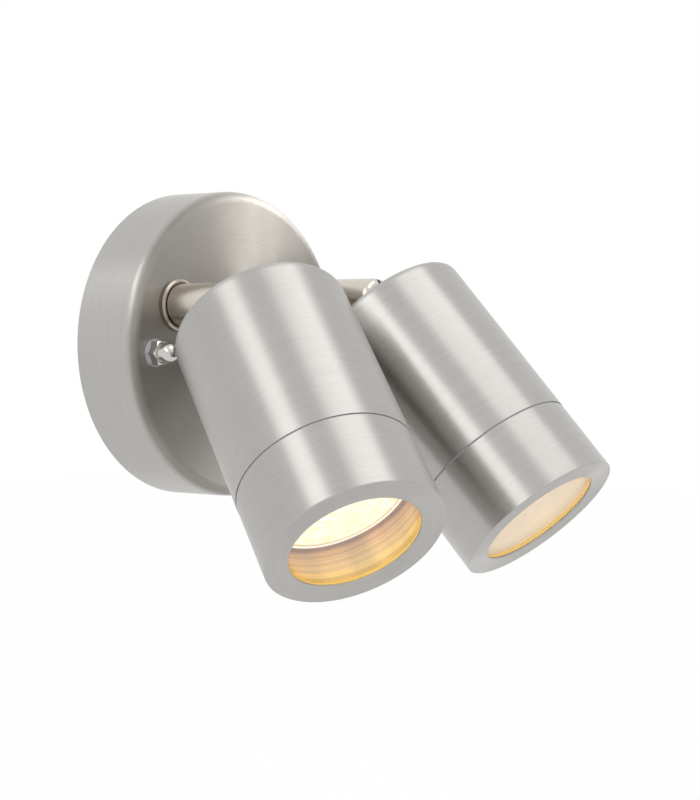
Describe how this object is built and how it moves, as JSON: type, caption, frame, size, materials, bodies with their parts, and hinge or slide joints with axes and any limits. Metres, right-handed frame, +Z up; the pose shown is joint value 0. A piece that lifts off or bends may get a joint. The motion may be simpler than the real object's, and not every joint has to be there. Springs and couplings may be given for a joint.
{
  "type": "outdoor wall spotlight",
  "caption": "Wall spotlight with cylindrical heads on swivelling arms, round pressed back plate, tilting knuckles and screw-off front rings.",
  "frame": {"origin": "centre of the back plate's rear side, on the wall plane and on the axis of the cable hole", "axes": "+Z up, +Y into the wall, -Y the way the arms point, +X to the right as seen from in front of the wall"},
  "size_m": [0.1559, 0.1533, 0.1366],
  "materials": {
    "brushed_stainless": "brushed",
    "bright_steel": "polished",
    "zinc_steel": "zinc plated",
    "washer_steel": "satin",
    "turned_aluminium": "turned",
    "brass": "bright",
    "black_foam": "matt",
    "grey_rubber": "matt",
    "clear_silicone": "soft gloss",
    "white_nylon": "satin",
    "white_ceramic": "glazed",
    "lamp_shell": "gloss",
    "lamp_lens": "lit",
    "clear_glass": "polished"
  },
  "bodies": {
    "wall_plate": {"canopy": "brushed_stainless", "wall_bracket": "zinc_steel", "bracket_studs": "zinc_steel", "dome_nuts": "bright_steel", "sealing_washers": "washer_steel", "wall_seal": "black_foam", "terminal_block": "white_nylon", "terminal_barrels": "brass", "terminal_screws": "zinc_steel", "earth_screw": "brass", "arm_bushes": "brushed_stainless", "bush_nuts": "zinc_steel"},
    "near_arm": {"near_arm": "brushed_stainless", "near_stem_washer": "zinc_steel", "near_stem_nut": "zinc_steel", "near_pivot_screw": "bright_steel", "near_friction_washer": "white_nylon"},
    "near_head": {"near_head_can": "brushed_stainless", "near_knuckle": "brushed_stainless", "near_knuckle_nut": "zinc_steel", "near_threaded_sleeve": "turned_aluminium", "near_seam_seal": "grey_rubber", "near_lampholder": "white_ceramic", "near_holder_bracket": "zinc_steel", "near_holder_screws": "zinc_steel"},
    "near_glass_pack": {"near_glass": "clear_glass", "near_glass_gasket": "clear_silicone"},
    "near_ring": {"near_front_ring": "brushed_stainless"},
    "near_lamp": {"near_lamp_body": "lamp_shell", "near_lamp_lens": "lamp_lens", "near_lamp_base": "white_ceramic"},
    "far_arm": {"far_arm": "brushed_stainless", "far_stem_washer": "zinc_steel", "far_stem_nut": "zinc_steel", "far_pivot_screw": "bright_steel", "far_friction_washer": "white_nylon"},
    "far_head": {"far_head_can": "brushed_stainless", "far_knuckle": "brushed_stainless", "far_knuckle_nut": "zinc_steel", "far_threaded_sleeve": "turned_aluminium", "far_seam_seal": "grey_rubber", "far_lampholder": "white_ceramic", "far_holder_bracket": "zinc_steel", "far_holder_screws": "zinc_steel"},
    "far_glass_pack": {"far_glass": "clear_glass", "far_glass_gasket": "clear_silicone"},
    "far_ring": {"far_front_ring": "brushed_stainless"},
    "far_lamp": {"far_lamp_body": "lamp_shell", "far_lamp_lens": "lamp_lens", "far_lamp_base": "white_ceramic"}
  },
  "joints": [
    {"name": "near_swivel", "type": "hinge", "parent": "wall_plate", "child": "near_arm", "pos_m": [-0.03225, -0.027, 0.015], "axis": [0, -1, 0], "range_deg": [-159, 21]},
    {"name": "near_tilt", "type": "hinge", "parent": "near_arm", "child": "near_head", "pos_m": [-0.03225, -0.062, 0.015], "axis": [0.9336, 0, -0.3584], "range_deg": [-50, 15]},
    {"name": "near_ring_lift", "type": "slide", "parent": "near_head", "child": "near_glass_pack", "axis": [-0.2745, -0.6428, -0.7152], "range_m": [0, 0.0061]},
    {"name": "near_ring_turn", "type": "hinge", "parent": "near_glass_pack", "child": "near_ring", "pos_m": [-0.03225, -0.062, 0.015], "axis": [-0.2745, -0.6428, -0.7152], "range_deg": [0, 1080]},
    {"name": "near_lamp_twist", "type": "hinge", "parent": "near_head", "child": "near_lamp", "pos_m": [-0.03225, -0.062, 0.015], "axis": [-0.2745, -0.6428, -0.7152], "range_deg": [0, 20]},
    {"name": "far_swivel", "type": "hinge", "parent": "wall_plate", "child": "far_arm", "pos_m": [0.03225, -0.027, 0.015], "axis": [0, -1, 0], "range_deg": [-3, 177]},
    {"name": "far_tilt", "type": "hinge", "parent": "far_arm", "child": "far_head", "pos_m": [0.03225, -0.062, 0.015], "axis": [0.9986, 0, 0.0523], "range_deg": [-48, 17]},
    {"name": "far_ring_lift", "type": "slide", "parent": "far_head", "child": "far_glass_pack", "axis": [0.0389, -0.6691, -0.7421], "range_m": [0, 0.0061]},
    {"name": "far_ring_turn", "type": "hinge", "parent": "far_glass_pack", "child": "far_ring", "pos_m": [0.03225, -0.062, 0.015], "axis": [0.0389, -0.6691, -0.7421], "range_deg": [0, 1080]},
    {"name": "far_lamp_twist", "type": "hinge", "parent": "far_head", "child": "far_lamp", "pos_m": [0.03225, -0.062, 0.015], "axis": [0.0389, -0.6691, -0.7421], "range_deg": [0, 20]}
  ],
  "couplings": [
    {"joint": "near_ring_lift", "follows": "near_ring_turn", "m_per_rad": 0.00031831},
    {"joint": "far_ring_lift", "follows": "far_ring_turn", "m_per_rad": 0.00031831}
  ]
}
